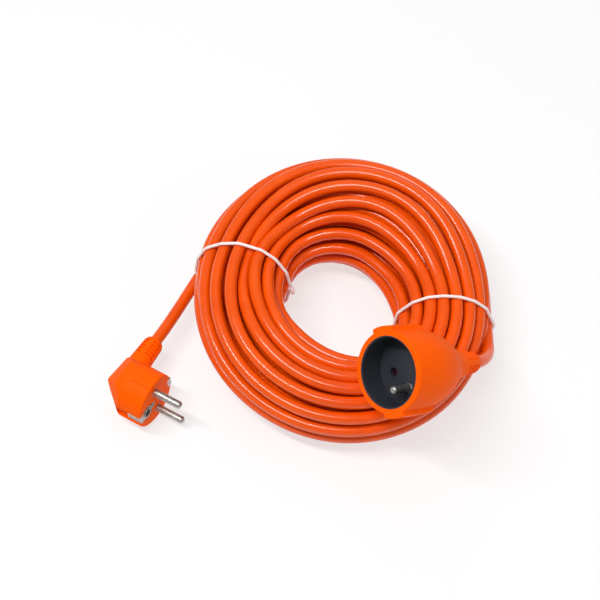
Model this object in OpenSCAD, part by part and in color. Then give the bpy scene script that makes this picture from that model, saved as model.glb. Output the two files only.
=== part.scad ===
// Extension cord: a wound coil of round cord with a right-angle moulded plug at one end
// and an in-line shuttered socket at the other. The coil lies on the floor and two wire
// ties hold it. +Z is up, the floor is z = 0 and the origin is under the middle of the box.

/* [Cord] */
// Outside diameter of the cord
cord_d = 7.6; // [7:0.1:8]
// Diameter of one insulated core inside the cord
core_d = 2.8; // [2.4:0.1:3.2]
// Running room between the cord and the bores that it passes through
cord_room = 0.05; // [0.02:0.01:0.1]

/* [Coil] */
// Mean radius of the ring that the bundle of turns follows
ring_r = 65; // [62:0.5:70]
// How much the ring's radius grows and shrinks, which makes it oval
ring_oval = 4; // [0:0.5:6]
// Direction of the oval's long axis
oval_dir = 82; // [60:1:100]
// Mean radius of the bundle of turns
bundle_r = 31.3; // [31:0.1:34]
// How much fatter the bundle is on its loose side
bundle_swell = 3.7; // [0:0.1:4]
// Direction of the loose side
swell_dir = 46; // [20:1:70]
// Whole loops in the outer layer
coil_loops = 17; // [8:1:17]
// Degrees round the bundle from one loop to the next
layer_step = 19.8; // [19.8:0.1:20]
// X of the coil's middle
coil_x = 29.5; // [20:1:40]
// Y of the coil's middle
coil_y = 5.3; // [0:1:12]

/* [Ties] */
// Thickness of a tie's coated wire
tie_d = 2; // [1.2:0.1:2.4]
// Half the width of a tie's loop, to the middle of its wire
tie_half_w = 32; // [31.8:0.1:33]
// Half the height of a tie's loop, to the middle of its wire
tie_half_h = 30; // [29.8:0.1:31]
// Distance of a tie's middle from the coil's middle
tie_from_mid = 64.4; // [64:0.1:65]
// Direction of the first tie from the coil's middle
tie_a_dir = 134.7; // [133:0.1:137]
// Direction of the second tie from the coil's middle
tie_b_dir = -46.5; // [-48:0.1:-45]
// How far the second tie is turned out of the radial plane
tie_b_yaw = 18; // [12:1:20]
// Length of a tie's twisted ends
tie_tail = 6; // [5:0.5:12]

/* [Pins and contacts] */
// Diameter of the plug's pins and of the socket's earth pin
pin_d = 4.8; // [4.7:0.05:4.9]
// Distance between the two power pins
pin_pitch = 19; // [18:0.5:20]
// Length of the plug's pins in front of its face
pin_len = 19; // [16:0.5:21]
// Distance of the earth contact from the line of the pins
earth_off = 10; // [9.5:0.1:10.5]
// Radial room between a pin and the sleeve that takes it
contact_room = 0.03; // [0.02:0.01:0.05]
// Wall of a contact sleeve
contact_wall = 0.9; // [0.7:0.05:1]

/* [Plug] */
// Diameter of the plug's round front
plug_d = 37; // [36:0.5:38.5]
// Distance from the plug's axis to the cord's side of its front, which is flatter
plug_low_r = 15.9; // [15.5:0.1:16.5]
// Length of the round front, before the body slopes back
plug_front = 16.5; // [15:0.5:17.5]
// Depth of the whole body behind its face
plug_depth = 31.8; // [31.2:0.2:36]
// Depth of the cord's axis behind the face
plug_exit_depth = 23.5; // [23:0.5:25]
// Width of the body's back ridge
ridge_w = 16; // [14:0.5:20]
// Distance from the plug's axis to the end of its boot
plug_boot_end = 34.6; // [34:0.2:42]
// Radius of the boot where it leaves the body
plug_boot_r = 7.4; // [7:0.1:8]
// Thickness of the wall in front of the pin carrier
plug_face_t = 3; // [2:0.5:4]
// Thickness of the pin carrier
bridge_t = 6; // [5:0.5:6.5]

/* [Socket] */
// Diameter of the socket's mouth over the shell
shell_d = 47.4; // [46.5:0.2:50]
// Diameter of the black cup over its wall and floor
cup_d = 40.8; // [40.4:0.2:42]
// Diameter of the recess that takes a plug
recess_d = 39; // [38.6:0.2:39.4]
// Depth of the recess
recess_depth = 15.4; // [15:0.2:16]
// Thickness of the recess floor
floor_t = 2.5; // [2:0.1:3]
// Length of the socket's earth pin above the recess floor
earth_pin_len = 14; // [12:0.5:14]
// Length of the bell-shaped shell, before the boot
shell_len = 58; // [57:0.5:62]
// Length of the shell and its boot
socket_len = 77; // [75:0.2:84]
// Radius of the shell where the boot begins
neck_r = 9.8; // [9.4:0.1:11]
// Width of a finger lug on the shell
lug_w = 14; // [10:0.5:18]
// Height of a finger lug
lug_h = 2.3; // [1.5:0.1:3]
// Length of a finger lug
lug_len = 26; // [22:0.5:34]

/* [Shutter] */
// Travel of the shutter
shutter_travel = 6; // [5.9:0.05:6.1]
// Thickness of the shutter
shutter_t = 3.2; // [2.6:0.1:3.4]
// Running room around the shutter
shutter_room = 0.3; // [0.2:0.05:0.4]
// Radius of a window in the shutter
window_r = 2.8; // [2.7:0.05:2.9]
// Wire diameter of the shutter's spring
spring_wire = 0.5; // [0.3:0.05:0.6]
// Outside diameter of the shutter's spring
spring_d = 2.8; // [2.2:0.1:3]
// Curls in the spring
spring_curls = 7; // [4:1:9]

/* [Boots] */
// Radius of a boot at its end
boot_tip_r = 5.8; // [5.4:0.1:6.2]
// Ring grooves in a boot
groove_count = 5; // [3:1:5]
// Distance from one groove to the next
groove_pitch = 2.4; // [2.2:0.1:2.8]
// Width of a groove
groove_w = 1.2; // [0.8:0.1:1.3]
// Depth of a groove
groove_depth = 1; // [0.6:0.1:1.2]
// Width of the four ribs that cross the grooves
groove_rib = 3; // [1.6:0.1:3.2]

/* [Hidden] */

$fn = 64;
eps = 0.01;
snug = 0.05;                     // room round a piece that is moulded in
cord_r = cord_d / 2;
pin_r = pin_d / 2;
tip_r = 2;                       // rounding of a pin's tip
orange = [0.95, 0.36, 0.08];
nickel = [0.78, 0.77, 0.75];
brass = [0.80, 0.64, 0.32];

// --- the coil's ring and bundle ------------------------------------------------------
flat_cut = cord_d / 10;          // the turns are pressed flat by this much on the floor
rings_per_loop = 24;
loop_sides = 6;
swell_2 = 1.3;                   // second, smaller swelling of the bundle
swell_2_dir = 9;
start_ring = 2;                  // the plug's lead joins here, counted from the first tie
start_lift = -20;                // and at this place round the bundle, from straight out
end_ring = 10;                   // the socket's lead leaves here, after the whole loops

function unit(v) = v / norm(v);
function out_dir(t) = [cos(t), sin(t), 0];
function ring_at(t) = ring_r + ring_oval * cos(2 * (t - oval_dir));
function bundle_at(t) = bundle_r + bundle_swell * cos(t - swell_dir)
                      + swell_2 * cos(2 * (t - swell_2_dir));
function on_bundle(t, lift, depth) =
    ring_at(t) * out_dir(t) + [0, 0, bundle_at(t) - flat_cut]
    + (bundle_at(t) - depth) * (cos(lift) * out_dir(t) + [0, 0, sin(lift)]);

// Each tie: its direction, its turn out of the radial plane and the lean of its top
tie_room = 0.3;                  // room between a tie and what it goes round or lies on
tie_a = [tie_a_dir, 1, -11];
tie_b = [tie_b_dir, tie_b_yaw, 5];
function tie_out(tie) = out_dir(tie[0] + tie[1]);
function tie_up(tie) = let (side = tie_out(tie + [90, 0, 0]))
    sin(tie[2]) * side + [0, 0, cos(tie[2])];
function tie_mid(tie) = tie_from_mid * out_dir(tie[0])
    + [0, 0, tie_half_h * cos(tie[2]) + tie_d / 2 + tie_room];
// A point in a tie's plane, at some depth inside the middle line of its wire
function in_tie(tie, lift, depth) = tie_mid(tie)
    + (tie_half_w - depth) * cos(lift) * tie_out(tie)
    + (tie_half_h - depth) * sin(lift) * tie_up(tie);
under_tie = tie_d / 2 + 0.28;     // depth of the turns inside the middle line of a tie
function tie_at(tie, lift) = let (p = in_tie(tie, lift, under_tie + cord_r)) atan2(p.y, p.x);

// A point at ring k of the coil, at some place round the bundle and depth inside it. One
// ring of each loop lies under each tie, and the others are shared out between the ties.
half_loop = rings_per_loop / 2;
function coil_point(k, lift, depth) =
    let (j = k - rings_per_loop * floor(k / rings_per_loop),
         a = tie_at(tie_a, lift), b = tie_at(tie_b, lift))
    j == 0 ? in_tie(tie_a, lift, under_tie + depth)
    : j == half_loop ? in_tie(tie_b, lift, under_tie + depth)
    : j < half_loop ? on_bundle(a - j * (a - b) / half_loop, lift, depth)
    : on_bundle(b - (j - half_loop) * (360 - a + b) / half_loop, lift, depth);
function lift_at(k) = start_lift - layer_step * (k - start_ring) / rings_per_loop;
function turn_at(k) = coil_point(k, lift_at(k), cord_r);
function turn_out(k) = turn_at(k) - coil_point(k, lift_at(k), 2 * cord_r);

last_ring = rings_per_loop * coil_loops + end_ring;
start_point = turn_at(start_ring);
start_run = unit(turn_at(start_ring + 1) - start_point);
end_point = turn_at(last_ring);
end_run = unit(end_point - turn_at(last_ring - 1));
coil_path = concat([start_point, start_point + cord_d * start_run],
                   [for (k = [start_ring + 1 : last_ring - 1]) turn_at(k)],
                   [end_point - cord_d * end_run, end_point]);
coil_out = concat([turn_out(start_ring), turn_out(start_ring)],
                  [for (k = [start_ring + 1 : last_ring - 1]) turn_out(k)],
                  [turn_out(last_ring), turn_out(last_ring)]);

// The least gap between one loop and the next, measured on the tube's points
coil_gap = min([for (i = [0 : len(coil_path) - 1])
               for (j = [i + half_loop : 1 : min(len(coil_path) - 1, i + 2 * rings_per_loop)])
               norm(coil_path[i] - coil_path[j])]) - cord_d;
echo(str("least gap between the coil's loops: ", coil_gap, " mm"));

// --- where the plug and the socket lie, from the coil's middle -----------------------
plug_face = [-130.6, 0.6, plug_d / 2];
plug_dir = -60;
socket_mouth = [-24, -87.2, 92];
socket_tilt = 34.3;
socket_roll = 145;

module at_coil() { translate([coil_x, coil_y, 0]) children(); }
module at_plug() {
    at_coil() translate(plug_face) rotate([180, -90, plug_dir]) children();
}
module at_socket() {
    at_coil() translate(socket_mouth) rotate([0, socket_tilt - 90, 0])
        rotate([0, 0, socket_roll]) children();
}

// --- the two free stretches of cord --------------------------------------------------
sheath_inset = 9;                // the sheath reaches this close to the plug's axis
plug_ahead = [cos(plug_dir), sin(plug_dir), 0];
plug_exit_run = [-sin(plug_dir), cos(plug_dir), 0];
plug_cord_start = plug_face - plug_exit_depth * plug_ahead;
socket_back = [cos(socket_tilt), 0, -sin(socket_tilt)];
sheath_depth = 57;               // the sheath reaches this close to the socket's mouth

plug_lead_route = concat(
    [for (d = [sheath_inset, plug_boot_end - 12, plug_boot_end, plug_boot_end + cord_d])
        plug_cord_start + d * plug_exit_run],
    [[-88.7, 53.6, 17], [-77.2, 62, 15.4], [-65.6, 70.2, 14.6], [-53.6, 76.6, 16.4]],
    [start_point - cord_d * start_run, start_point]);
socket_lead_route = concat(
    [for (d = [sheath_depth, socket_len - 12, socket_len + 0.5])
        socket_mouth + d * socket_back],
    [[44.6, -86.6, 44.8], [49, -84.9, 41], [53.5, -82.3, 36.9], [57.9, -78.2, 33.3],
     [61.9, -72.3, 31]],
    [turn_at(last_ring + 2), turn_at(last_ring + 1), end_point + cord_d * end_run, end_point]);
lead_sides = 10;

function run_at(path, i) = unit(path[min(i + 1, len(path) - 1)] - path[max(i - 1, 0)]);
function square_to(run, v) = unit(v - (v * run) * run);

// A closed tube of flat-sided rings along a path. Each ring is square to the path there,
// and its first corner lies half a side on from the direction given for it.
module tube(path, ups, r, sides, low = -1000) {
    n = len(path);
    corners = [for (i = [0 : n - 1])
        let (run = run_at(path, i), up = square_to(run, ups[i]), side = cross(run, up))
        for (k = [0 : sides - 1])
            let (a = 360 * (k + 0.5) / sides, p = path[i] + r * (cos(a) * up + sin(a) * side))
            [p.x, p.y, max(p.z, low)]];
    skin = [for (i = [0 : n - 2]) for (k = [0 : sides - 1])
        let (a = i * sides + k, b = i * sides + (k + 1) % sides)
        for (f = [[a, b, a + sides], [b, b + sides, a + sides]]) f];
    first = [for (k = [1 : sides - 2]) [0, k + 1, k]];
    last = [for (k = [1 : sides - 2])
        [(n - 1) * sides, (n - 1) * sides + k, (n - 1) * sides + k + 1]];
    polyhedron(points = corners, faces = concat(skin, first, last));
}

module lead(path) {
    tube(path, [for (p = path) [0, 0, 1]], cord_r, lead_sides);
}

module cord_plug_lead() { color(orange) at_coil() lead(plug_lead_route); }
module cord_socket_lead() { color(orange) at_coil() lead(socket_lead_route); }

// The outer layer of the coil: one tube that spirals once round the bundle
module cord_coil() {
    color(orange) at_coil() tube(coil_path, coil_out, cord_r, loop_sides, 0);
}

// The buried turns, as one plain ring that the outer layer lies on
core_gap = 0.3;
core_sides = 12;
module cord_coil_core() {
    n = rings_per_loop;
    corners = [for (k = [0 : n - 1]) for (i = [0 : core_sides - 1])
        coil_point(k, 360 * i / core_sides, cord_d + core_gap)];
    skin = [for (k = [0 : n - 1]) for (i = [0 : core_sides - 1])
        let (a = k * core_sides + i, b = k * core_sides + (i + 1) % core_sides,
             c = ((k + 1) % n) * core_sides + i,
             d = ((k + 1) % n) * core_sides + (i + 1) % core_sides)
        for (f = [[a, c, b], [b, c, d]]) f];
    color([0.80, 0.25, 0.05]) at_coil() polyhedron(points = corners, faces = skin);
}

// --- ties ------------------------------------------------------------------------------
tie_rings = 44;
tie_sides = 6;
tie_mouth = 10;                  // half the angle that is left open at the twisted ends

tie_droop = 0.7;                 // how far the twisted ends bend along the bundle

// A loop of coated wire round the bundle. Its two ends lie side by side in the hole.
module tie(tie, ends_at, droop) {
    span = 360 - 2 * tie_mouth;
    loop = [for (i = [0 : tie_rings])
        let (a = ends_at + tie_mouth + span * i / tie_rings) in_tie(tie, a, 0)];
    apart = unit(loop[0] - loop[tie_rings]);
    mid = in_tie(tie, ends_at, 0);
    away = unit(unit(in_tie(tie, ends_at, -1) - mid)
                + droop * unit(in_tie(tie, ends_at + 5, 0) - mid));
    ends = [for (side = [1, -1]) [for (far = [tie_tail + 2 * tie_d, 2 * tie_d])
        mid + side * 0.55 * tie_d * apart + far * away]];
    path = concat(ends[0], loop, [ends[1][1], ends[1][0]]);
    side = cross(tie_out(tie), tie_up(tie));
    at_coil() tube(path, [for (p = path) side], tie_d / 2, tie_sides);
}

module tie_left() { color("white") tie(tie_a, 196, tie_droop); }
module tie_right() { color("white") tie(tie_b, 200, 0); }

// --- boots -----------------------------------------------------------------------------
boot_round = 1.6;                // rounding of a boot's end
boot_lead_in = 3;                // smooth length before the first groove

// A tapered boot along +Z from z = 0, with rows of short grooves and its end at z = len
module boot(base_r, len) {
    function r_at(z) = base_r + (boot_tip_r + 0.6 - base_r) * z / (len - boot_lead_in);
    difference() {
        rotate_extrude() polygon(concat(
            [[0, 0], [base_r, 0], [r_at(len - boot_lead_in), len - boot_lead_in]],
            [for (a = [0 : 30 : 90]) [boot_tip_r - boot_round * (1 - cos(a)),
                                      len - boot_round * (1 - sin(a))]],
            [[0, len]]));
        difference() {
            for (i = [0 : groove_count - 1])
                let (z = len - boot_lead_in - i * groove_pitch - groove_w / 2)
                translate([0, 0, z - groove_w / 2]) rotate_extrude()
                    translate([r_at(z) - groove_depth, 0]) square([base_r, groove_w]);
            for (a = [0, 90]) rotate([0, 0, a])
                translate([-2 * base_r, -groove_rib / 2, 0])
                    cube([4 * base_r, groove_rib, len]);
        }
    }
}

// --- pins, sleeves and cores -----------------------------------------------------------
crimp_r = 2;
crimp_bore = 1.2;
flange_r = 3.2;
flange_t = 1.4;

// A turned pin along +Z: its tip is at z = reach and its foot, which is a little thicker
// than the pin, runs back from z = 0. A flange and a crimp barrel close the foot.
foot_r = pin_r + 0.3;
module turned_pin(reach, foot, crimp) {
    difference() {
        rotate_extrude() polygon(concat(
            [[0, -foot - flange_t - crimp], [crimp_r, -foot - flange_t - crimp],
             [crimp_r, -foot - flange_t], [flange_r, -foot - flange_t],
             [flange_r, -foot], [foot_r, -foot], [foot_r, 0], [pin_r, 0]],
            [for (a = [0 : 18 : 90]) [pin_r - tip_r * (1 - cos(a)),
                                      reach - tip_r * (1 - sin(a))]],
            [[0, reach]]));
        translate([0, 0, -foot - flange_t - crimp - 1])
            cylinder(r = crimp_bore, h = crimp);
    }
}

// An insulated core that runs from point to point. Its first and last runs are straight,
// and each corner between is cut short by the same amount.
core_sides_n = 8;
core_bend = 1;
module core_wire(points, up) {
    n = len(points);
    path = concat([points[0]],
        [for (i = [1 : n - 2]) for (s = [0, 1])
            let (to = points[i + (s == 0 ? -1 : 1)])
            points[i] + min(core_bend, norm(to - points[i]) / 2.5) * unit(to - points[i])],
        [points[n - 1]]);
    tube(path, [for (p = path) up], core_d / 2, core_sides_n);
}

// Where the cores lie in the end of the sheath, from its middle
trefoil_r = core_d / sqrt(3) + snug;
function trefoil(a) = trefoil_r * [cos(a), sin(a)];

// --- plug: x runs along the line of the pins, y towards the earth hole, z out of the face
plug_r = plug_d / 2;
bridge_r = 14;
bridge_z = -plug_face_t - bridge_t;
ridge_low = -12;                 // the ridge's end on the cord's side
ridge_fall = 1.6;                // that end is lower by this much
ridge_high = 4;                  // the ridge's end on the earth side
ridge_round = 3;
shoulder_x = 12.7;               // a blunt shoulder runs down each side of the ridge
shoulder_z = 21.2;
plug_boot_from = 12;             // the boot starts this far from the axis, in the body
clip_plate_r = 5;                // round end of the earth clip, on the face
clip_rim_r = 3.7;
clip_rim = 0.5;                  // height of the rim round the clip's hole
channel_w = 9;
channel_depth = 2.4;
strap_w = 7;
strap_t = 0.8;
sleeve_len = 15;
sleeve_out = pin_r + contact_room + 0.6;
plug_crimp = 6;
wire_room_x = pin_pitch / 2 + flange_r + 0.3;
wire_room_z = -18.5;             // the room is full width as far back as this
wire_slope_z = -23.8;            // and narrows to its neck here
wire_room_y = 4;
wire_neck = 13;                  // width of the room where the cores close up
wire_under = 3.4;                 // room behind the cord's axis

flank = plug_r - channel_depth;  // where the earth clips lie on the two sides
low_flank = plug_low_r - 0.7;
module plug_earth_strap_form() {
    for (at = [-low_flank - strap_t, flank])
        translate([-strap_w / 2, at, bridge_z - strap_t])
            cube([strap_w, strap_t, -bridge_z + strap_t]);
    translate([-strap_w / 2, -low_flank - strap_t, -strap_t]) cube([strap_w, 3.6, strap_t]);
    translate([-strap_w / 2, earth_off, -strap_t])
        cube([strap_w, flank + strap_t - earth_off, strap_t]);
    // round plate with its rim, and a tongue between the pins
    translate([0, earth_off, -strap_t]) {
        cylinder(r = clip_plate_r, h = strap_t);
        cylinder(r = clip_rim_r, h = strap_t + clip_rim);
        translate([-2, -earth_off + 2, 0]) cube([4, earth_off - 2, strap_t]);
    }
    translate([-strap_w / 2, -low_flank, bridge_z - strap_t])
        cube([strap_w, low_flank + flank, strap_t]);
}

module plug_earth_strap() {
    color(nickel) at_plug() difference() {
        plug_earth_strap_form();
        translate([0, earth_off, -sleeve_len - 1])
            cylinder(r = sleeve_out + snug, h = sleeve_len + 1 - strap_t);
        translate([0, earth_off, -2]) cylinder(r = pin_r + contact_room, h = 3);
        translate([0, earth_off, 0]) cylinder(r = pin_r + 0.5, h = 1);
    }
}

module plug_earth_sleeve() {
    color(brass) at_plug() translate([0, earth_off, -sleeve_len - strap_t])
        difference() {
            cylinder(r = sleeve_out, h = sleeve_len);
            translate([0, 0, -1]) cylinder(r = pin_r + contact_room, h = sleeve_len + 2);
        }
}

// The outline of the plug's front: round, but flatter on the cord's side
module plug_outline(grow) {
    polygon([for (i = [0 : 71]) let (a = 5 * i)
        [(plug_r + grow) * cos(a), ((a > 180 ? plug_low_r : plug_r) + grow) * sin(a)]]);
}

// The solid of the plug before anything is cut from it
module plug_outside() {
    hull() {
        for (rim = [[-1, 0], [-0.3, 0.3], [0, 1]])
            translate([0, 0, -plug_front]) linear_extrude(height = plug_front - rim[1])
                plug_outline(rim[0]);
        for (x = [-1, 1]) for (end = [[ridge_low, ridge_fall], [ridge_high, 0]])
            translate([x * (ridge_w / 2 - ridge_round), end[0],
                       -plug_depth + ridge_round + end[1]]) sphere(r = ridge_round, $fn = 16);
        for (x = [-1, 1]) for (y = [ridge_low + 5, ridge_high + 3])
            translate([x * shoulder_x, y, -shoulder_z]) sphere(r = ridge_round, $fn = 16);
    }
    translate([0, -plug_boot_from, -plug_exit_depth]) rotate([90, 0, 0])
        boot(plug_boot_r, plug_boot_end - plug_boot_from);
}

module plug_body() {
    color(orange) at_plug() difference() {
        plug_outside();
        // channels of the side earth clips
        translate([-channel_w / 2, flank, -plug_front - 1])
            cube([channel_w, channel_depth + 1, plug_front + 2]);
        translate([-channel_w / 2, -plug_r, 3 - plug_front])
            cube([channel_w, plug_r - low_flank, plug_front]);
        for (side = [-1, 1]) {
            // grip grooves in the flanks
            translate([side * plug_r - 0.7, 3, 3 - plug_front]) cube([1.4, 0.9, plug_front]);
            // holes of the power pins
            translate([side * pin_pitch / 2, 0, -plug_face_t - 1])
                cylinder(r = foot_r + snug, h = plug_face_t + 2);
        }
        plug_earth_strap_form();
        // groove round the earth clip's plate
        translate([0, earth_off, -1.4]) difference() {
            cylinder(r = clip_plate_r + 0.7, h = 2);
            translate([0, 0, -1]) cylinder(r = clip_plate_r, h = 4);
        }
        translate([0, 0, bridge_z]) cylinder(r = bridge_r + snug, h = bridge_t);
        translate([0, earth_off, -sleeve_len - strap_t])
            cylinder(r = sleeve_out + snug, h = sleeve_len + 1);
        // room for the crimps and cores
        translate([0, wire_room_y, 0]) rotate([90, 0, 0])
            linear_extrude(height = sheath_inset + wire_room_y) polygon([
                [-wire_room_x, bridge_z + eps], [wire_room_x, bridge_z + eps],
                [wire_room_x, wire_room_z], [wire_neck / 2 + 1, wire_slope_z],
                [wire_neck / 2, -plug_exit_depth - wire_under],
                [-wire_neck / 2, -plug_exit_depth - wire_under],
                [-wire_neck / 2 - 1, wire_slope_z], [-wire_room_x, wire_room_z]]);
        translate([0, -sheath_inset + eps, -plug_exit_depth]) rotate([90, 0, 0])
            cylinder(r = cord_r + cord_room, h = plug_boot_end);
    }
}

module plug_pin_carrier() {
    color([0.16, 0.16, 0.17]) at_plug() difference() {
        translate([0, 0, bridge_z]) cylinder(r = bridge_r, h = bridge_t);
        for (side = [-1, 1]) translate([side * pin_pitch / 2, 0, bridge_z - 1])
            cylinder(r = foot_r + snug, h = bridge_t + 2);
        translate([0, earth_off, bridge_z - 1])
            cylinder(r = sleeve_out + snug, h = bridge_t + 2);
    }
}

module plug_pin(side) {
    color(nickel) at_plug() translate([side * pin_pitch / 2, 0, 0])
        turned_pin(pin_len, -bridge_z, plug_crimp);
}

// A core from a pin's crimp to the end of the sheath
module plug_core(x, end_angle) {
    crimp_z = bridge_z - flange_t - plug_crimp;
    at = [trefoil(end_angle).x, -plug_exit_depth + trefoil(end_angle).y];
    at_plug() core_wire([[x, 0, crimp_z], [x, 0, crimp_z - 2.4],
                         [at.x, -5.5, at.y], [at.x, -sheath_inset, at.y]], [1, 0, 0]);
}

module plug_core_brown() { color([0.35, 0.18, 0.08]) plug_core(pin_pitch / 2, 30); }
module plug_core_blue() { color([0.10, 0.25, 0.70]) plug_core(-pin_pitch / 2, 150); }
module plug_core_earth() {
    at = -plug_exit_depth + trefoil(270).y;
    color([0.45, 0.65, 0.10]) at_plug() core_wire([[0, 0, bridge_z - strap_t],
        [0, 0, at + core_d], [0, -core_d, at], [0, -sheath_inset, at]], [1, 0, 0]);
}

// --- socket: x runs along the line of the holes, y towards the earth pin, z out of the mouth
shell_r = shell_d / 2;
cup_r = cup_d / 2;
hole_r = pin_r + 0.25;
cup_back = recess_depth + floor_t;
pocket_t = shutter_t + 2 * shutter_room;
boss_r = 18.6;
boss_back = cup_back + pocket_t;
carrier_r = 15.5;
carrier_back = 40;
contact_out = pin_r + contact_room + contact_wall;
contact_bore = 15;
contact_base = 1.8;
contact_z = -boss_back - 0.4;    // front end of the contact sleeves
socket_crimp = 6;
bell_start = 14;                 // the shell is straight as far back as this
bell_power = 2.2;
bell_steps = 10;
bell_end = shell_len - 4;
boot_base_r = 8.7;
shell_wall = 2;                  // wall of the shell round the cores
wire_room = 5.5;                 // length behind the carrier before the cores close up

function bell_r(d) = shell_r - (shell_r - neck_r)
                   * pow(max(0, (d - bell_start) / (bell_end - bell_start)), bell_power);
bell = [for (i = [0 : bell_steps])
    let (d = bell_start + (bell_end - bell_start) * i / bell_steps) [bell_r(d), -d]];

module socket_outside() {
    rotate_extrude() polygon(concat(
        [[0, 0], [shell_r - 0.8, 0], [shell_r - 0.25, -0.25], [shell_r, -0.8]], bell,
        [[neck_r - 0.9, -shell_len + 0.4], [boot_base_r, -shell_len], [0, -shell_len]]));
    // finger lugs
    intersection() {
        rotate_extrude() polygon(concat([[0, 0], [shell_r + lug_h - 0.6, 0],
            [shell_r + lug_h, -0.6]], [for (p = bell) [p.x + lug_h, p.y]],
            [[0, -bell_end]]));
        translate([-lug_w / 2, -shell_d, -lug_len]) cube([lug_w, 2 * shell_d, lug_len]);
    }
    translate([0, 0, -shell_len]) rotate([180, 0, 0])
        boot(boot_base_r, socket_len - shell_len);
}

module socket_shell() {
    color(orange) at_socket() difference() {
        socket_outside();
        rotate_extrude() polygon([[0, 1], [cup_r + snug, 1], [cup_r + snug, -cup_back],
            [boss_r + snug, -cup_back], [boss_r + snug, -boss_back],
            [carrier_r + snug, -boss_back], [carrier_r + snug, -carrier_back],
            [bell_r(carrier_back + wire_room) - shell_wall, -carrier_back - wire_room],
            [cord_r + 1.2, -sheath_depth],
            [cord_r + cord_room, -sheath_depth], [cord_r + cord_room, -socket_len - 1],
            [0, -socket_len - 1]]);
    }
}

// shutter pocket: its sides, and the notch that leaves room for the earth pin
shutter_w = 28;
shutter_low = -4.2;
shutter_notch = 6.2;             // the plate's middle stops here, under the earth pin
shutter_high = shutter_travel + window_r + 0.8;
spring_seat = -16.4;
pocket_x = shutter_w / 2 + shutter_room;
notch_x = 4.8;

// The shutter pocket's outline; grow makes it larger than the plate, and low is its lower end
module shutter_outline(grow, low) {
    w = shutter_w / 2 + grow;
    translate([-w, low]) square([2 * w, shutter_notch + grow - low]);
    for (side = [-1, 1]) translate([side > 0 ? notch_x - grow : -w, 0])
        square([w - notch_x + grow, shutter_high + grow]);
}

// The wall of the recess, as a plain ring
module socket_cup() {
    color([0.10, 0.11, 0.13]) at_socket() difference() {
        translate([0, 0, -recess_depth]) cylinder(r = cup_r, h = recess_depth);
        translate([0, 0, -recess_depth - 1]) cylinder(d = recess_d, h = recess_depth + 2);
        translate([0, 0, -0.6]) cylinder(d1 = recess_d, d2 = recess_d + 0.8, h = 0.6 + eps);
    }
}

// The floor of the recess, with the holes for two pins and for the earth pin's foot
module socket_floor() {
    color([0.10, 0.11, 0.13]) at_socket() difference() {
        translate([0, 0, -cup_back]) cylinder(r = cup_r, h = floor_t);
        for (side = [-1, 1]) translate([side * pin_pitch / 2, 0, -cup_back - 1])
            cylinder(r = hole_r, h = floor_t + 2);
        translate([0, earth_off, -cup_back - 1]) cylinder(r = foot_r + snug, h = floor_t + 2);
    }
}

// The frame behind the floor that the shutter runs in
module shutter_frame() {
    color([0.16, 0.16, 0.17]) at_socket() difference() {
        translate([0, 0, -boss_back]) cylinder(r = boss_r, h = pocket_t);
        translate([0, earth_off, -boss_back - 1]) cylinder(r = foot_r + snug, h = pocket_t + 2);
        translate([0, 0, -boss_back - 1]) linear_extrude(height = pocket_t + 2) {
            shutter_outline(shutter_room, shutter_low - shutter_travel - shutter_room);
            translate([-spring_d / 2 - 0.3, spring_seat])
                square([spring_d + 0.6, shutter_low - spring_seat]);
        }
    }
}

// The shutter: a plate with two windows, and ramps that a pair of pins pushes aside
module socket_shutter() {
    color([0.45, 0.10, 0.12]) at_socket()
        translate([0, 0, -cup_back - shutter_room - shutter_t]) difference() {
            linear_extrude(height = shutter_t) shutter_outline(0, shutter_low);
            for (side = [-1, 1]) {
                translate([side * pin_pitch / 2, shutter_travel, -1])
                    cylinder(r = window_r, h = shutter_t + 2);
                translate([side * pin_pitch / 2, shutter_low + 1, shutter_t])
                    rotate([-20, 0, 0]) translate([-window_r, 0, 0])
                        cube([2 * window_r, shutter_travel - shutter_low, 4]);
            }
        }
}

// The spring that pushes the shutter shut
module shutter_spring() {
    rings = 8;
    room = 0.1;
    mid_r = (spring_d - spring_wire) / 2;
    z = -cup_back - pocket_t / 2;
    low = spring_seat + room + spring_wire / 2;
    high = shutter_low - room - spring_wire / 2;
    n = spring_curls * rings;
    path = [for (i = [0 : n]) [mid_r * cos(360 * i / rings), low + (high - low) * i / n,
                               z + mid_r * sin(360 * i / rings)]];
    ups = [for (i = [0 : n]) [cos(360 * i / rings), 0, sin(360 * i / rings)]];
    color("silver") at_socket() tube(path, ups, spring_wire / 2, loop_sides);
}

module socket_contact_carrier() {
    color([0.16, 0.16, 0.17]) at_socket() difference() {
        translate([0, 0, -carrier_back]) cylinder(r = carrier_r, h = carrier_back - boss_back);
        for (side = [-1, 1]) translate([side * pin_pitch / 2, 0, -carrier_back - 1])
            cylinder(r = contact_out + snug, h = carrier_back);
        translate([0, earth_off, -carrier_back - 1])
            cylinder(r = flange_r + snug, h = carrier_back);
    }
}

// A sprung contact: a slit sleeve that a pin enters, with a base and a crimp barrel
module socket_contact(side) {
    slit = 0.6;
    color(brass) at_socket() translate([side * pin_pitch / 2, 0, contact_z])
        difference() {
            union() {
                translate([0, 0, -contact_bore - contact_base])
                    cylinder(r = contact_out, h = contact_bore + contact_base);
                translate([0, 0, -contact_bore - contact_base - socket_crimp])
                    cylinder(r = crimp_r, h = socket_crimp + eps);
            }
            translate([0, 0, -contact_bore])
                cylinder(r = pin_r + contact_room, h = contact_bore + 1);
            translate([0, 0, -contact_bore - contact_base - socket_crimp - 1])
                cylinder(r = crimp_bore, h = socket_crimp);
            for (a = [0, 90]) rotate([0, 0, a])
                translate([-contact_out - 1, -slit / 2, -contact_bore * 0.6])
                    cube([2 * contact_out + 2, slit, contact_bore]);
        }
}

module socket_earth_pin() {
    color(nickel) at_socket() translate([0, earth_off, -recess_depth])
        turned_pin(earth_pin_len, boss_back - recess_depth, socket_crimp);
}

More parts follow.
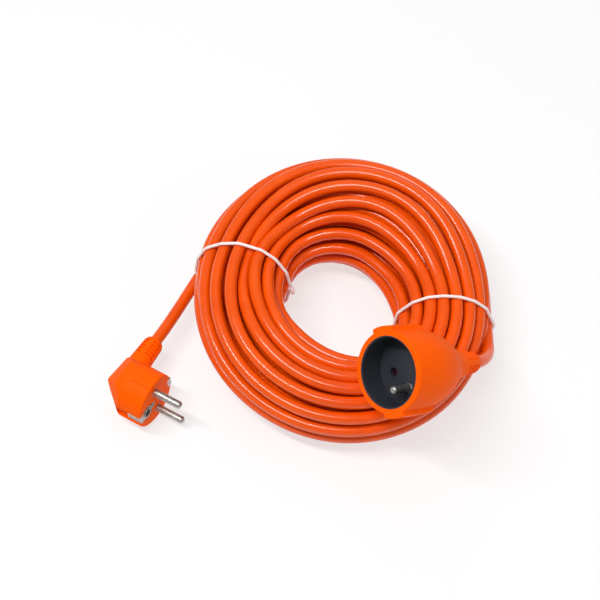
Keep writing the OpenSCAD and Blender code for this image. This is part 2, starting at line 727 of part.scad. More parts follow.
// A core from a crimp at depth d and place p to the end of the sheath
module socket_core(p, d, end_angle) {
    at = trefoil(end_angle);
    straight_to = max(d + 2, carrier_back + 1);
    at_socket() core_wire([[p.x, p.y, -d], [p.x, p.y, -straight_to],
        [at.x, at.y, -sheath_depth + 2], [at.x, at.y, -sheath_depth]],
        abs(p.x) > abs(p.y) ? [0, 1, 0] : [1, 0, 0]);
}

contact_end = -contact_z + contact_bore + contact_base + socket_crimp;
earth_end = boss_back + flange_t + socket_crimp;
module socket_core_brown() {
    color([0.35, 0.18, 0.08]) socket_core([pin_pitch / 2, 0], contact_end, -30);
}
module socket_core_blue() {
    color([0.10, 0.25, 0.70]) socket_core([-pin_pitch / 2, 0], contact_end, 210);
}
module socket_core_earth() {
    color([0.45, 0.65, 0.10]) socket_core([0, earth_off], earth_end, 90);
}

plug_body();
plug_pin_carrier();
plug_pin(1);  // plug_pin_line
plug_pin(-1);  // plug_pin_neutral
plug_earth_strap();
plug_earth_sleeve();
plug_core_brown();
plug_core_blue();
plug_core_earth();
cord_plug_lead();
cord_coil();
cord_coil_core();
cord_socket_lead();
tie_left();
tie_right();
socket_shell();
socket_cup();
socket_floor();
shutter_frame();
socket_contact_carrier();
socket_contact(1);  // socket_contact_line
socket_contact(-1);  // socket_contact_neutral
socket_earth_pin();
socket_shutter();
shutter_spring();
socket_core_brown();
socket_core_blue();
socket_core_earth();
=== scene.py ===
import math

import bpy
import numpy as np
from mathutils import Matrix, Vector


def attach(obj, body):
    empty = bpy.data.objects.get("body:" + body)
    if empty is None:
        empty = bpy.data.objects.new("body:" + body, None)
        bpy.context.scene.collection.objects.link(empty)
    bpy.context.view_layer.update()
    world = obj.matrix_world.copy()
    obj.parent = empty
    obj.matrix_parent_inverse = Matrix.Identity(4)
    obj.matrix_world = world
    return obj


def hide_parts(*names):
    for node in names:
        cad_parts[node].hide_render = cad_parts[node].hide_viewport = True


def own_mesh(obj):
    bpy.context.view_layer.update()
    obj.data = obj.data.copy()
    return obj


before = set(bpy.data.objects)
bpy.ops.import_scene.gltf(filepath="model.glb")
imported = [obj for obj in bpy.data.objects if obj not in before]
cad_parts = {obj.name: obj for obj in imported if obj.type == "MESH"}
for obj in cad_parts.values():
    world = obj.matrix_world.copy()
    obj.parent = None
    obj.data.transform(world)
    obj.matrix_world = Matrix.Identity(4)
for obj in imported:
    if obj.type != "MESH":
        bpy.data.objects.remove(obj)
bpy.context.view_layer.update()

# The extension cord's looks: one long cord wound into a hank, its two wire ties, the
# shutter's spring, and the finishes of the moulded plug and socket. Lengths are in
# millimetres and places are taken from the hank's middle on the floor, until in_metres()
# turns them into the part's own frame. Level directions are in degrees, from +X towards +Y.
MM = 0.001
HANK_MIDDLE = np.array([29.5, 5.3, 0.0])
UP = np.array([0, 0, 1])


def in_metres(points):
    """Points from the hank's middle, in millimetres, as metres in the part's own frame."""
    return (np.asarray(points, float) + HANK_MIDDLE) * MM


def out_dir(degrees):
    """The level direction out of the hank's middle at an angle, or at each of many."""
    a = np.radians(degrees)
    return np.stack([np.cos(a), np.sin(a), 0 * a], -1)


def unit(v):
    """The direction of a vector, or of each of many."""
    v = np.asarray(v, float)
    return v / np.linalg.norm(v, axis=-1, keepdims=True)


def easing(x):
    """0 to 1 with a soft start and a soft end."""
    x = np.clip(x, 0, 1)
    return x * x * (3 - 2 * x)


# --- camera -------------------------------------------------------------------------------
LENS, SENSOR_WIDTH = 78, 36
CAMERA_AT = (-0.2157, -0.3679, 0.7173)      # metres, in the part's own frame
CAMERA_AIM = (0.01716, 0.03558, 0.0)


def place_camera():
    """A long lens that looks down on the hank from its near left side."""
    camera = bpy.data.objects.new("camera", bpy.data.cameras.new("camera"))
    bpy.context.scene.collection.objects.link(camera)
    camera.data.lens = LENS
    camera.data.sensor_width = SENSOR_WIDTH
    camera.data.clip_start = 0.01
    camera.data.clip_end = 20
    camera.location = CAMERA_AT
    aim = Vector(CAMERA_AIM) - camera.location
    camera.rotation_mode = "QUATERNION"
    camera.rotation_quaternion = aim.to_track_quat("-Z", "Y")
    bpy.context.scene.camera = camera


place_camera()

# --- sizes of the cord, its hank and its ties ---------------------------------------------
CORD_D = 7.6
CORD_R = CORD_D / 2
CORD_SIDES, CORD_SPACING = 18, 5.6       # of its tube, and from one ring of it to the next

RING_R, OVAL, OVAL_DIR = 65, 4, 82       # the line through the bundle's middle, nearly round
BUNDLE_R = 31.3                          # the bundle of strands round that line
SWELL, SWELL_DIR = 3.7, 46               # it is thicker on one side,
SWELL_2, SWELL_2_DIR = 1.3, 9            # and a little flattened
FLAT_CUT = CORD_D / 10           # how far the floor cuts into the bundle's round

TIE_D = 2
TIE_R = TIE_D / 2
TIE_ROOM = 0.3                   # room between a tie and the floor or the strands
TIE_FROM_MID = 64.4              # from the hank's middle to a tie's
TIE_HALF_W, TIE_HALF_H = 32, 30  # the oval that the ties hold the bundle to
TIE_NEAR = 50                    # a strand nearer than this to a tie's middle goes through it
TIE_SNUG = 1.03                  # how much wider than a strand the wire bends round it
TIE_FACES = np.radians(np.arange(0, 360, 2))    # directions in which the wire is drawn tight


def ring_at(t):
    """How far the bundle's middle lies from the hank's middle, in the direction t."""
    return RING_R + OVAL * np.cos(np.radians(2 * (t - OVAL_DIR)))


def bundle_at(t):
    """Radius of the bundle in the direction t."""
    return (BUNDLE_R + SWELL * np.cos(np.radians(t - SWELL_DIR))
            + SWELL_2 * np.cos(np.radians(2 * (t - SWELL_2_DIR))))


class Tie:
    """The plane of one wire tie round the bundle, and the wire's path in it. The plane
    stands in a level direction from the hank's middle, turned by yaw and tipped by lean. A
    place on the wire is given by its lift, the angle from straight out and upwards. The
    wire's two ends are twisted together at one lift, and droop bends the twist downwards."""

    def __init__(self, at, yaw, lean, ends_at, droop):
        side = out_dir(at + yaw + 90)
        self.out = out_dir(at + yaw)
        self.up = math.sin(math.radians(lean)) * side
        self.up[2] = math.cos(math.radians(lean))
        self.across = np.cross(self.out, self.up)
        self.mid = TIE_FROM_MID * out_dir(at)
        self.mid[2] = TIE_HALF_H * math.cos(math.radians(lean)) + TIE_R + TIE_ROOM
        self.ends_at = math.radians(ends_at)
        self.droop = droop

    def draw_tight(self, line):
        """Draws the wire tight round the strands that pass through the tie's plane. Its
        reach is how far out it then lies, in each of the directions TIE_FACES."""
        side = (line - self.mid) @ self.across
        near = np.linalg.norm(line - self.mid, axis=1) < TIE_NEAR
        i = np.flatnonzero((side[:-1] * side[1:] < 0) & near[:-1])
        part = (side[i] / (side[i] - side[i + 1]))[:, None]
        strands = line[i] + part * (line[i + 1] - line[i]) - self.mid
        spots = np.stack([strands @ self.out, strands @ self.up], 1)
        toward = np.stack([np.cos(TIE_FACES), np.sin(TIE_FACES)])
        self.reach = (spots @ toward).max(0) + CORD_R * TIE_SNUG + TIE_R

    def point(self, lift):
        """Points on the wire, at lifts in radians."""
        lift = np.atleast_1d(lift)
        slant = np.cos(lift[:, None] - TIE_FACES)
        least = 0.05                  # faces turned further away than this don't reach it
        far = np.where(slant > least, self.reach / np.maximum(slant, least), 1e3).min(1)
        places = (self.mid + np.outer(far * np.cos(lift), self.out)
                  + np.outer(far * np.sin(lift), self.up))
        places[:, 2] = np.maximum(places[:, 2], TIE_R + TIE_ROOM)
        return places


TIES = {
    "tie_left": Tie(at=134.7, yaw=1, lean=-11, ends_at=178, droop=1.8),
    "tie_right": Tie(at=-46.5, yaw=18, lean=5, ends_at=200, droop=0),
}


# --- the free stretches, as the solids have them ------------------------------------------
PLUG_FACE = np.array([-130.6, 0.6, 18.5])     # middle of the plug's front face
PLUG_DIR = -60                                # the way its pins point
PLUG_EXIT_DEPTH = 23.5                        # from the face back to the cord's own middle line
PLUG_SIDE = out_dir(PLUG_DIR + 90)            # the way the cord leaves the plug
PLUG_CORD_START = PLUG_FACE - PLUG_EXIT_DEPTH * out_dir(PLUG_DIR)

SOCKET_MOUTH = np.array([-24, -87.2, 92])     # middle of the socket's mouth
SOCKET_TILT = math.radians(34.3)
SOCKET_BACK = np.array([math.cos(SOCKET_TILT), 0, -math.sin(SOCKET_TILT)])

PLUG_LEAD = [PLUG_CORD_START + d * PLUG_SIDE for d in (9, 18, 26, 34.6, 42.2)] + [
    (-88.7, 53.6, 17), (-77.2, 62, 15.4), (-65.6, 70.2, 14.6), (-53.6, 76.6, 16.4)]
SOCKET_LEAD = [(61.9, -72.3, 31), (57.9, -78.2, 33.3), (53.5, -82.3, 36.9), (49, -84.9, 41),
               (44.6, -86.6, 44.8)] + [SOCKET_MOUTH + d * SOCKET_BACK for d in (77.5, 65, 57)]


def smooth_line(knots, spacing):
    """A smooth curve through all the knots, as points about one spacing apart."""
    knots = np.asarray(knots, float)
    before = np.vstack([2 * knots[0] - knots[1], knots[:-1]])
    after = np.vstack([knots[1:], 2 * knots[-1] - knots[-2]])
    legs = np.linalg.norm(np.diff(knots, axis=0), axis=1)
    back = np.concatenate([[legs[0]], legs])[:, None]
    ahead = np.concatenate([legs, [legs[-1]]])[:, None]
    slope = ((knots - before) / back * ahead + (after - knots) / ahead * back) / (back + ahead)
    points = []
    for i, leg in enumerate(legs):
        n = max(1, round(leg / spacing))
        u = (np.arange(n) / n)[:, None]
        points.append((2 * u**3 - 3 * u**2 + 1) * knots[i]
                      + (u**3 - 2 * u**2 + u) * leg * slope[i]
                      + (3 * u**2 - 2 * u**3) * knots[i + 1]
                      + (u**3 - u**2) * leg * slope[i + 1])
    points.append(knots[-1:])
    return np.vstack(points)


# --- the lay of the hank ------------------------------------------------------------------
TURNS = 35                       # whole turns, besides the part of a turn at the end
STEPS = 36                       # places round a turn at which the strands are laid
START_AT, END_AT = 105.8, -34.2  # directions at which the hank's first and last points lie
START_LIFT, END_LIFT = -20, -5   # and how far round the bundle, in degrees from straight out
END_LIFT_POINT = 3               # the second lift is that of this point from the end
HELD_FIRST, HELD_LAST = 4, 6     # points at each end that stay where the free lead joins
HELD_DRIFT = 17                  # degrees round the bundle that they would go in a whole turn
PASS_SPACING, PASS_WITHIN = 0.5, 0.3     # mm along a free lead, degrees beside a section
FAR_OFF = 1e5                    # where nothing is touched

OUTER_TURNS = 17.0               # turns that go once round the bundle's outside
INNER_DRIFT = 720 + START_LIFT - END_LIFT     # degrees that the turns inside them go round it
INNER_SHARE = 0.45               # and how much nearer its middle they lie
INWARD_EARLY, INWARD_OVER = 0.5, 1.5     # turns in which the cord goes in to the inner ones,
OUTWARD_EARLY, OUTWARD_OVER = 1.8, 1.2   # and in which it comes out again before its end
WANDER, WANDER_KNOTS = 2.5, 1.1  # how far a strand strays, and how many times in a turn
FADE_STEPS = 12                  # steps over which the straying fades in at the ends
SEED = 4

ROUNDS = 1400                    # rounds of easing from the rough lay to the last one
STIFF_FROM = 0.3                 # part of the rounds after which a strand is stiff
LIMP_EASE, STIFF_EASE = 0.35, 0.5    # share of a bend that goes at a time
PACK_OUT = 0.06                  # how hard the bundle is packed outwards in each round
FIRM_PUSH = 0.85                 # share of an overlap that one round takes out
SPREAD, SPREAD_PUSH = 8.6, 0.25  # strands ease apart to this, this gently
AIRY = 0.16                      # each strand at the outside adds up to twice this share
AIRY_FROM, AIRY_OVER = 0.7, 0.25  # share of the bundle's radius from which it does, softly
# A tie holds the strands' middles to an oval of these half sizes
HOLD_W, HOLD_H = (h - TIE_R - TIE_ROOM - CORD_R for h in (TIE_HALF_W, TIE_HALF_H))
HOLD_SIDE, HOLD_FLARE = 30, 0.16  # how far beside a tie it does, and how much looser there
CALMING = 14                     # rounds that take the last small kinks out


def eased_bends(lay, stiff):
    """The lay with its bends eased a little. A stiff strand only resists bending, and a
    limp one draws itself short as well."""
    bend = np.zeros_like(lay)
    bend[1:-1] = (lay[:-2] + lay[2:]) / 2 - lay[1:-1]
    if stiff:
        bend[1:-1] = bend[1:-1] - (bend[:-2] + bend[2:]) / 2
    return lay + (STIFF_EASE if stiff else LIMP_EASE) * bend


def calmed(lay):
    """Each point of a lay drawn halfway to the middle of its two neighbours."""
    calm = lay.copy()
    calm[1:-1] = (lay[:-2] + 2 * lay[1:-1] + lay[2:]) / 4
    return calm


class Hank:
    """The hank's upright sections, one at each step. A lay gives each point of the cord as
    how far out and how far up it lies from the bundle's middle, in its own section. Reach
    is the furthest that it may lie from that middle, and height is the middle's own."""

    def __init__(self):
        self.count = round((TURNS + (START_AT - END_AT) / 360) * STEPS) + 1
        self.at = START_AT - 360 / STEPS * np.arange(self.count)
        self.reach = bundle_at(self.at) - CORD_R
        self.height = bundle_at(self.at) - FLAT_CUT
        self.out = out_dir(self.at)
        self.mid = ring_at(self.at)[:, None] * self.out + self.height[:, None] * UP
        self.rows = -(-self.count // STEPS)
        self.spare = self.rows * STEPS - self.count     # places in the last row with no point
        self.held = self.held_ends()
        self.leads = self.passing_leads()

    def held_ends(self):
        """The points at each end that stay, and their places."""
        first = np.arange(HELD_FIRST)
        last = np.arange(self.count - HELD_LAST, self.count)
        held = []
        for ids, lift, lift_point in ((first, START_LIFT, 0),
                                      (last, END_LIFT, self.count - END_LIFT_POINT)):
            a = np.radians(lift - HELD_DRIFT * (ids - lift_point) / STEPS)
            held.append((ids, np.stack([np.cos(a), np.sin(a)], 1) * self.reach[ids][:, None]))
        return held

    def passing_leads(self):
        """Where the free leads pass the sections on their way to the hank's first and last
        points, out and up in each section; far off in the others."""
        first, last = [self.mid[i] + places[i, 0] * self.out[i] + (0, 0, places[i, 1])
                       for i, (_, places) in zip((0, -1), self.held)]
        passing = np.full((STEPS, 1, 2), FAR_OFF)
        for route in (PLUG_LEAD[4:] + [first], [last] + SOCKET_LEAD[:5]):
            line = smooth_line(route, PASS_SPACING)[2:-2]
            toward = np.degrees(np.arctan2(line[:, 1], line[:, 0]))
            for step in range(STEPS):
                at = START_AT - 360 / STEPS * step
                off = np.abs((toward - at + 180) % 360 - 180)
                if off.min() < PASS_WITHIN:
                    p = line[off.argmin()]
                    passing[step, 0] = (math.hypot(p[0], p[1]) - ring_at(at),
                                        p[2] - bundle_at(at) + FLAT_CUT)
        return passing

    def rough_lay(self, rng):
        """A lay to start from: an outer layer, then the turns inside it, all straying. With
        it comes how airy the strands lie at each point."""
        turn = np.arange(self.count) / STEPS
        total = turn[-1]
        lift = np.where(turn < OUTER_TURNS, START_LIFT - 360 * turn / OUTER_TURNS,
                        START_LIFT - INNER_DRIFT * (turn - OUTER_TURNS) / (total - OUTER_TURNS))
        going_in = easing((turn - OUTER_TURNS + INWARD_EARLY) / INWARD_OVER)
        coming_out = easing((turn - total + OUTWARD_EARLY) / OUTWARD_OVER)
        depth = self.reach * (1 - INNER_SHARE * (going_in - coming_out))
        knots = int(total * WANDER_KNOTS) + 4
        pull = rng.normal(size=(knots, 2)) * WANDER
        airy = rng.uniform(0, 2 * AIRY, knots)
        x = np.linspace(0, knots - 1, self.count)
        i = np.clip(x.astype(int), 0, knots - 2)
        f = easing(x - i)
        from_start = np.arange(self.count)
        fade = np.minimum(from_start, self.count - 1 - from_start) / FADE_STEPS
        wander = ((pull[i] * (1 - f[:, None]) + pull[i + 1] * f[:, None])
                  * np.clip(fade, 0, 1)[:, None])
        lift = np.radians(lift)
        return (np.stack([depth * np.cos(lift), depth * np.sin(lift)], 1) + wander,
                airy[i] * (1 - f) + airy[i + 1] * f)

    def packed_out(self, lay):
        """Every point moved a little away from the bundle's middle."""
        far = np.linalg.norm(lay, axis=1)[:, None]
        return lay + PACK_OUT * lay / np.maximum(far, 1)

    def pushed_apart(self, lay, airy):
        """Strands in the same section pushed off each other, and off the leads there. Places
        in the last row that hold no point stand far off and apart, so they push nothing."""
        far_off = np.stack([1e4 + 100.0 * np.arange(self.spare)] * 2, 1)
        grid = np.concatenate([lay, far_off]).reshape(self.rows, STEPS, 2).transpose(1, 0, 2)
        apart = grid[:, :, None] - np.concatenate([grid, self.leads], 1)[:, None]
        itself = np.eye(self.rows, self.rows + 1)[None] * 99.0
        gap = np.sqrt((apart ** 2).sum(3)) + itself
        ease = airy * easing((np.linalg.norm(lay, axis=1) / self.reach - AIRY_FROM) / AIRY_OVER)
        ease = np.concatenate([ease, np.zeros(self.spare)]).reshape(self.rows, STEPS).T
        wide = SPREAD * (1 + ease[:, :, None] + np.pad(ease, ((0, 0), (0, 1)))[:, None])
        push = (FIRM_PUSH * np.clip(CORD_D - gap, 0, None)
                + SPREAD_PUSH * np.clip(wide - gap, 0, None))
        grid = grid + (apart * (push / np.maximum(gap, 0.01) / 2)[..., None]).sum(2)
        return grid.transpose(1, 0, 2).reshape(-1, 2)[:self.count]

    def kept_in(self, lay):
        """Points brought back inside the bundle's round and off the floor."""
        far = np.linalg.norm(lay, axis=1)
        lay = lay * np.minimum(1, self.reach / np.maximum(far, 1e-6))[:, None]
        lay[:, 1] = np.maximum(lay[:, 1], CORD_R - self.height)
        return lay

    def tied(self, lay, tie):
        """Points near a tie drawn into its oval, which loosens to both sides of the wire."""
        from_tie = self.mid + lay[:, :1] * self.out - tie.mid
        from_tie[:, 2] += lay[:, 1]
        off, a, b = from_tie @ tie.across, from_tie @ tie.out, from_tie @ tie.up
        oval = np.sqrt((a / HOLD_W) ** 2 + (b / HOLD_H) ** 2)
        most = 1 + HOLD_FLARE * (off / HOLD_SIDE) ** 2
        near = (np.abs(off) < HOLD_SIDE) & (np.linalg.norm(from_tie, axis=1) < TIE_NEAR)
        shrink = np.where(near & (oval > most), most / np.maximum(oval, 1e-6) - 1, 0)
        shift = (a * shrink)[:, None] * tie.out + (b * shrink)[:, None] * tie.up
        lay[:, 0] += (shift * self.out).sum(1)
        lay[:, 1] += shift[:, 2]
        return lay

    def middle_line(self):
        """The cord's middle line through the hank. From the rough lay, the points move in
        their sections until no strand lies in another, in the floor or outside the ties."""
        lay, airy = self.rough_lay(np.random.default_rng(SEED))
        for step in range(ROUNDS):
            part = step / ROUNDS
            for _ in range(1 if part < STIFF_FROM else 2):
                lay = eased_bends(lay, stiff=part > STIFF_FROM)
            lay = self.pushed_apart(self.packed_out(lay), airy)
            lay = self.kept_in(lay)
            for tie in TIES.values():
                lay = self.tied(lay, tie)
            for ids, places in self.held:
                lay[ids] = places
        for _ in range(CALMING):
            calm = calmed(lay)
            lay = 2 * calm - calmed(calm)
        lay[:, 1] = np.maximum(lay[:, 1], CORD_R - self.height)
        line = self.mid + lay[:, :1] * self.out
        line[:, 2] += lay[:, 1]
        return line


# --- mesh makers --------------------------------------------------------------------------
def new_piece(name, points, faces, smooth=True):
    """A mesh of points in metres and of faces, as a new object."""
    mesh = bpy.data.meshes.new(name)
    mesh.from_pydata([tuple(p) for p in np.asarray(points, float)], [], faces)
    mesh.validate()
    if smooth:
        mesh.shade_smooth()
    piece = bpy.data.objects.new(name, mesh)
    bpy.context.scene.collection.objects.link(piece)
    return piece


def carried_rings(line, radius, sides):
    """Rings of points round a line, turned along it without twisting."""
    run = unit(np.gradient(line, axis=0))
    up = unit(UP - run[0] * (run[0] @ UP))
    a = 2 * np.pi * np.arange(sides) / sides
    rings = []
    for p, r in zip(line, run):
        up = unit(up - r * (up @ r))
        side = np.cross(r, up)
        rings.append(p + radius * (np.cos(a)[:, None] * up + np.sin(a)[:, None] * side))
    return np.array(rings)


def tube_piece(name, line, radius, sides):
    """A tube round a line of points in metres, with both its ends closed."""
    rings = carried_rings(line, radius, sides)
    n = len(rings)
    last = (n - 1) * sides
    points = np.vstack([rings.reshape(-1, 3), line[:1], line[-1:]])
    faces = [(i * sides + k, i * sides + (k + 1) % sides,
              (i + 1) * sides + (k + 1) % sides, (i + 1) * sides + k)
             for i in range(n - 1) for k in range(sides)]
    faces += [(n * sides, (k + 1) % sides, k) for k in range(sides)]
    faces += [(n * sides + 1, last + k, last + (k + 1) % sides) for k in range(sides)]
    return new_piece(name, points, faces)


def make_cord():
    """The whole cord in one tube, and the line of the part of it that the ties go round."""
    hank = list(Hank().middle_line())
    line = in_metres(smooth_line(PLUG_LEAD + hank + SOCKET_LEAD, CORD_SPACING))
    cord = tube_piece("cord", line, CORD_R * MM, CORD_SIDES)
    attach(cord, "cord_set")
    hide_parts("cord_plug_lead", "cord_coil", "cord_coil_core", "cord_socket_lead")
    return cord, smooth_line(hank + SOCKET_LEAD[:2], CORD_SPACING)


cord, tied_line = make_cord()

# --- ties ---------------------------------------------------------------------------------
TIE_MOUTH = math.radians(7)      # half of the gap between the wire's ends, where they twist
TIE_BELOW = 0.09                 # lift between two places that say how the wire runs there
TWIST_FROM, TWIST_LENGTH = 1.2 * TIE_D, 2.5   # the twist of the two ends, out from the loop
TWIST_TURNS, TWIST_R = 1.5, 1.02 * TIE_R
LOOP_POINTS, TWIST_POINTS = 121, 24
TIE_SIDES, TIE_SPACING = 10, 0.9


def make_tie(name, tie):
    """Coated wire drawn tight over the strands, with its two ends twisted in the hole."""
    tie.draw_tight(tied_line)
    loop_lifts = (2 * math.pi - 2 * TIE_MOUTH) * np.linspace(0, 1, LOOP_POINTS)
    loop = tie.point(tie.ends_at + TIE_MOUTH + loop_lifts)
    foot, below = tie.point([tie.ends_at, tie.ends_at + TIE_BELOW])
    away = unit(unit(foot - tie.mid) + tie.droop * unit(below - foot))
    apart = unit(loop[0] - loop[-1])
    along = np.linspace(0, 1, TWIST_POINTS)
    a = 2 * np.pi * TWIST_TURNS * along
    core = foot + np.outer(TWIST_FROM + TWIST_LENGTH * along, away)
    round_core = np.cos(a)[:, None] * apart + np.sin(a)[:, None] * tie.across
    tails = [core + TWIST_R * way * round_core for way in (1, -1)]
    knots = np.vstack([tails[0][::-1], loop, tails[1]])
    piece = tube_piece(name + "_wire", in_metres(smooth_line(knots, TIE_SPACING)), TIE_R * MM,
                       TIE_SIDES)
    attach(piece, "cord_set")
    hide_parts(name)
    return piece


ties = [make_tie(name, tie) for name, tie in TIES.items()]

# --- the shutter's spring -----------------------------------------------------------------
SLIDE_ROLL = math.radians(145)   # the way the shutter slides, round the socket's axis
SPRING_SEAT, SHUTTER_EDGE = -16.4, -4.2    # the spring's two ends, along the slide
SPRING_DEEP = -19.8              # how deep it lies behind the socket's mouth
SPRING_WIRE_R, SPRING_R = 0.25, 1.15     # the wire's radius, and the radius of its curls
SPRING_CURLS, CURL_STEPS, SPRING_SIDES = 7, 14, 8
SPRING_ROOM = 0.1                # between the spring and what it pushes on


def slide_axes():
    """The socket's own axes as columns: across the shutter's slide, along it, and outwards."""
    tilt = SOCKET_TILT - math.pi / 2
    tipped = np.array([[math.cos(tilt), 0, math.sin(tilt)], [0, 1, 0],
                       [-math.sin(tilt), 0, math.cos(tilt)]])
    rolled = np.array([[math.cos(SLIDE_ROLL), -math.sin(SLIDE_ROLL), 0],
                       [math.sin(SLIDE_ROLL), math.cos(SLIDE_ROLL), 0], [0, 0, 1]])
    return tipped @ rolled


def make_spring():
    """The coil spring in its slot, which the shutter squeezes as it slides open."""
    axes = slide_axes()
    part = np.linspace(0, 1, SPRING_CURLS * CURL_STEPS + 1)
    a = 2 * np.pi * SPRING_CURLS * part
    low = SPRING_SEAT + SPRING_ROOM + SPRING_WIRE_R
    high = SHUTTER_EDGE - SPRING_ROOM - SPRING_WIRE_R
    helix = np.stack([SPRING_R * np.cos(a), low + (high - low) * part,
                      SPRING_DEEP + SPRING_R * np.sin(a)], 1)
    spring = tube_piece("spring_wire", in_metres(SOCKET_MOUTH + helix @ axes.T),
                        SPRING_WIRE_R * MM, SPRING_SIDES)
    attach(spring, "cord_set")
    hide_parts("shutter_spring")
    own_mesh(spring)
    return spring


spring = make_spring()


# --- finishes -----------------------------------------------------------------------------
class Reading:
    """A value that varies over a surface, to be reckoned with as a number is."""

    def __init__(self, finish, socket):
        self.finish = finish
        self.socket = socket

    def _math(self, kind, *terms):
        return self.finish.node("ShaderNodeMath", {"operation": kind}, dict(enumerate(terms)))

    def __add__(self, other):
        return self._math("ADD", self, other)

    def __sub__(self, other):
        return self._math("SUBTRACT", self, other)

    def __rsub__(self, other):
        return self._math("SUBTRACT", other, self)

    def __mul__(self, other):
        return self._math("MULTIPLY", self, other)

    __radd__, __rmul__ = __add__, __mul__


class Finish:
    """One material of nodes, made a node at a time."""

    def __init__(self, name):
        self.material = bpy.data.materials.new(name)
        self.material.use_nodes = True
        self.tree = self.material.node_tree
        self.tree.nodes.clear()

    def node(self, kind, settings=None, sockets=None, out=0):
        """Makes a node with its settings, then its sockets' values or links."""
        made = self.tree.nodes.new(kind)
        for key, value in (settings or {}).items():
            if key == "stops":
                self._set_stops(made.color_ramp, value)
            else:
                setattr(made, key, value)
        for key, value in (sockets or {}).items():
            target = made.inputs[key]
            if isinstance(value, Reading):
                self.tree.links.new(value.socket, target)
            else:
                target.default_value = value
        return Reading(self, made.outputs[out]) if len(made.outputs) else None

    @staticmethod
    def _set_stops(ramp, stops):
        while len(ramp.elements) < len(stops):
            ramp.elements.new(0.5)
        for element, (place, colour) in zip(ramp.elements, stops):
            element.position = place
            element.color = (*colour, 1)

    def noise(self, scale, detail=2.0, roughness=0.5):
        place = self.node("ShaderNodeTexCoord", out="Object")
        return self.node("ShaderNodeTexNoise", {}, {
            "Vector": place, "Scale": scale, "Detail": detail, "Roughness": roughness})

    def ramp(self, factor, stops):
        return self.node("ShaderNodeValToRGB", {"stops": stops}, {"Fac": factor})

    def bump(self, height, distance, strength):
        return self.node("ShaderNodeBump", {}, {"Height": height, "Distance": distance,
                                                "Strength": strength})

    def close(self, **sockets):
        """Ends the finish in a surface whose sockets are named with _ for each space."""
        named = {key.replace("_", " "): value for key, value in sockets.items()}
        shader = self.node("ShaderNodeBsdfPrincipled", {}, named)
        self.node("ShaderNodeOutputMaterial", {}, {"Surface": shader})
        return self.material


def rgb(*values):
    """Linear light from a colour as a paint chart gives it, 0 to 255."""
    parts = [v / 255 for v in values]
    return tuple(p / 12.92 if p <= 0.04045 else ((p + 0.055) / 1.055) ** 2.4 for p in parts)


def moulded(name, deep, full, rough, grain, grain_scale, gloss=0.3, coat=0.0):
    """Soft moulded plastic: faint clouds from a deep to a full colour, and a fine grain,
    whose height is in metres."""
    f = Finish(name)
    clouds = f.noise(38, detail=3, roughness=0.55)
    streaks = f.noise(160)
    tone = (clouds * 0.7 + streaks * 0.3 - 0.5) * 0.5 + 0.5
    fine = f.noise(grain_scale, roughness=0.6)
    rub = f.noise(70, detail=4, roughness=0.6)
    return f.close(
        Base_Color=f.ramp(tone, [(0.25, deep), (0.62, full)]),
        Roughness=(rub - 0.5) * 0.16 + rough,
        Coat_Weight=coat, Coat_Roughness=0.18, Specular_IOR_Level=gloss,
        Normal=f.bump(fine * 0.75 + rub * 0.25, grain, 0.8))


def metal(name, dark, light, rough):
    """Plated, turned or drawn metal, handled a little."""
    f = Finish(name)
    wear = f.noise(220, detail=4, roughness=0.6)
    return f.close(
        Base_Color=f.ramp(wear, [(0.3, dark), (0.65, light)]),
        Metallic=1.0, Roughness=(wear - 0.5) * 0.2 + rough,
        Normal=f.bump(wear, 0.00001, 0.4))


# Each finish has its deep and full colour (dark and light on metal) and its roughness. A
# moulded one also has how high its grain stands and the scale of it.
SHEATH = moulded("sheath_orange", rgb(216, 67, 0), rgb(238, 88, 0), 0.21, 0.000004, 900, gloss=0.5)
SHELL = moulded("moulded_orange", rgb(242, 84, 0), rgb(252, 94, 0), 0.5, 0.00006, 2400, gloss=0.04)
CUP = moulded("cup_black", rgb(34, 37, 43), rgb(50, 53, 60), 0.42, 0.00005, 2200)
SHUTTER = moulded("shutter_dark", rgb(46, 18, 28), rgb(70, 26, 38), 0.45, 0.00004, 2200)
COAT = moulded("tie_coat", rgb(226, 212, 208), rgb(246, 238, 236), 0.38, 0.00004, 1500, coat=0.1)
NICKEL = metal("nickel", rgb(160, 157, 154), rgb(198, 195, 190), 0.48)
BRASS = metal("brass", rgb(168, 126, 62), rgb(214, 172, 96), 0.3)
STEEL = metal("spring_steel", rgb(110, 110, 112), rgb(170, 170, 172), 0.3)
CORE_BROWN = moulded("core_brown", rgb(70, 38, 20), rgb(96, 54, 30), 0.4, 0.00003, 1500)
CORE_BLUE = moulded("core_blue", rgb(26, 60, 140), rgb(40, 84, 176), 0.4, 0.00003, 1500)
CORE_EARTH = moulded("core_earth", rgb(90, 140, 30), rgb(160, 190, 40), 0.4, 0.00003, 1500)

FINISH_OF = {
    SHELL: ("plug_body", "socket_shell"),
    CUP: ("socket_cup", "socket_floor", "shutter_frame", "socket_contact_carrier",
          "plug_pin_carrier"),
    SHUTTER: ("socket_shutter",),
    NICKEL: ("plug_pin_line", "plug_pin_neutral", "plug_earth_strap", "socket_earth_pin"),
    BRASS: ("plug_earth_sleeve", "socket_contact_line", "socket_contact_neutral"),
    CORE_BROWN: ("plug_core_brown", "socket_core_brown"),
    CORE_BLUE: ("plug_core_blue", "socket_core_blue"),
    CORE_EARTH: ("plug_core_earth", "socket_core_earth"),
}


def give(piece, material):
    """Gives a piece one finish all over."""
    if not piece.material_slots:
        piece.data.materials.append(material)
    for place in piece.material_slots:
        place.link = "OBJECT"
        place.material = material


for material, names in FINISH_OF.items():
    for name in names:
        give(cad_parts[name], material)
give(cord, SHEATH)
give(spring, STEEL)
for tie_piece in ties:
    give(tie_piece, COAT)

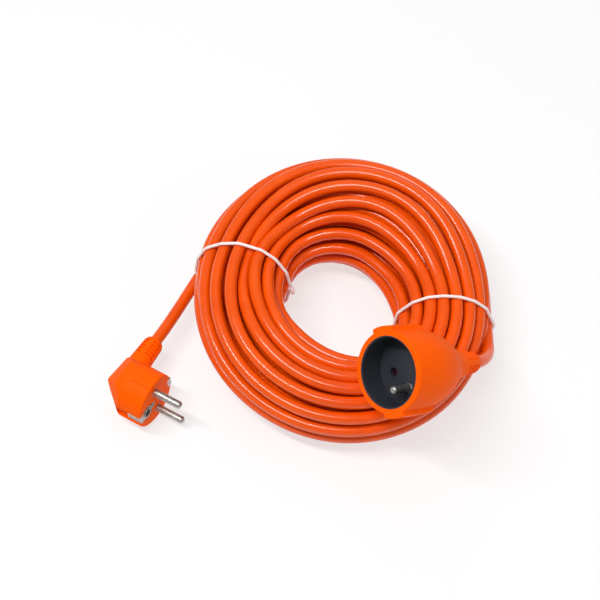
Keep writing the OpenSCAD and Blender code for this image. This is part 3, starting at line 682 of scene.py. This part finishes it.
# --- floor and light ----------------------------------------------------------------------
FLOOR_HALF, FLOOR_TOP = 6.0, -0.0002    # metres, as are all the places and sizes below
FLOOR_GLOW = 0.66                       # share of glow in its surface, beside plain paper
LIT_PLACE = Vector((0.03, 0.0, 0.03))   # what the lamps face
WORLD_LIGHT = 0.25


def pale_floor():
    """A wide pale floor, bright enough that the shadows on it stay soft."""
    f = Finish("floor_pale")
    mottle = f.noise(3)
    glow = f.node("ShaderNodeEmission", {}, {"Color": (1, 1, 1, 1), "Strength": 1.0})
    paper = f.node("ShaderNodeBsdfDiffuse", {}, {"Color": f.ramp(
        mottle, [(0.0, (0.86, 0.86, 0.86)), (1.0, (0.88, 0.88, 0.88))])})
    both = f.node("ShaderNodeMixShader", {}, {0: FLOOR_GLOW, 1: paper, 2: glow})
    f.node("ShaderNodeOutputMaterial", {}, {"Surface": both})
    corners = [(x * FLOOR_HALF, y * FLOOR_HALF, FLOOR_TOP)
               for x, y in ((-1, -1), (1, -1), (1, 1), (-1, 1))]
    floor = new_piece("floor", corners, [(0, 1, 2, 3)], smooth=False)
    give(floor, f.material)


def soft_light(name, place, width, height, watts, along=None, mirrored=True):
    """A plain rectangle of light that faces the hank, its width along a level direction. One
    that isn't mirrored lights the pieces but makes no shine on them."""
    light = bpy.data.lights.new(name, "AREA")
    light.shape = "RECTANGLE"
    light.size = width
    light.size_y = height
    light.energy = watts
    lamp = bpy.data.objects.new(name, light)
    lamp.location = place
    back = (Vector(place) - LIT_PLACE).normalized()
    side = Vector(along or (-back.y, back.x, 0.0))
    side = (side - side.dot(back) * back).normalized()
    lamp.rotation_mode = "QUATERNION"
    lamp.rotation_quaternion = Matrix((side, back.cross(side), back)).transposed().to_quaternion()
    lamp.visible_glossy = mirrored
    bpy.context.scene.collection.objects.link(lamp)


def light_studio():
    """A narrow strip that draws the shine along the strands, and broad lamps for the rest."""
    soft_light("strip", (-0.45, 0.03, 1.15), width=0.9, height=0.09, watts=11.5,
               along=(0.56, -0.83, 0))
    soft_light("back", (0.55, 0.9, 1.0), width=1.2, height=0.6, watts=3.2, mirrored=False)
    soft_light("top", (0.1, 0.1, 1.5), width=1.2, height=1.2, watts=3.0, mirrored=False)
    soft_light("front", (0.8, -0.95, 0.8), width=0.9, height=0.5, watts=4.4, mirrored=False)
    world = bpy.data.worlds.new("studio")
    world.use_nodes = True
    background = world.node_tree.nodes["Background"]
    background.inputs["Color"].default_value = (1, 1, 1, 1)
    background.inputs["Strength"].default_value = WORLD_LIGHT
    bpy.context.scene.world = world
    bpy.context.scene.view_settings.view_transform = "Standard"


pale_floor()
light_studio()
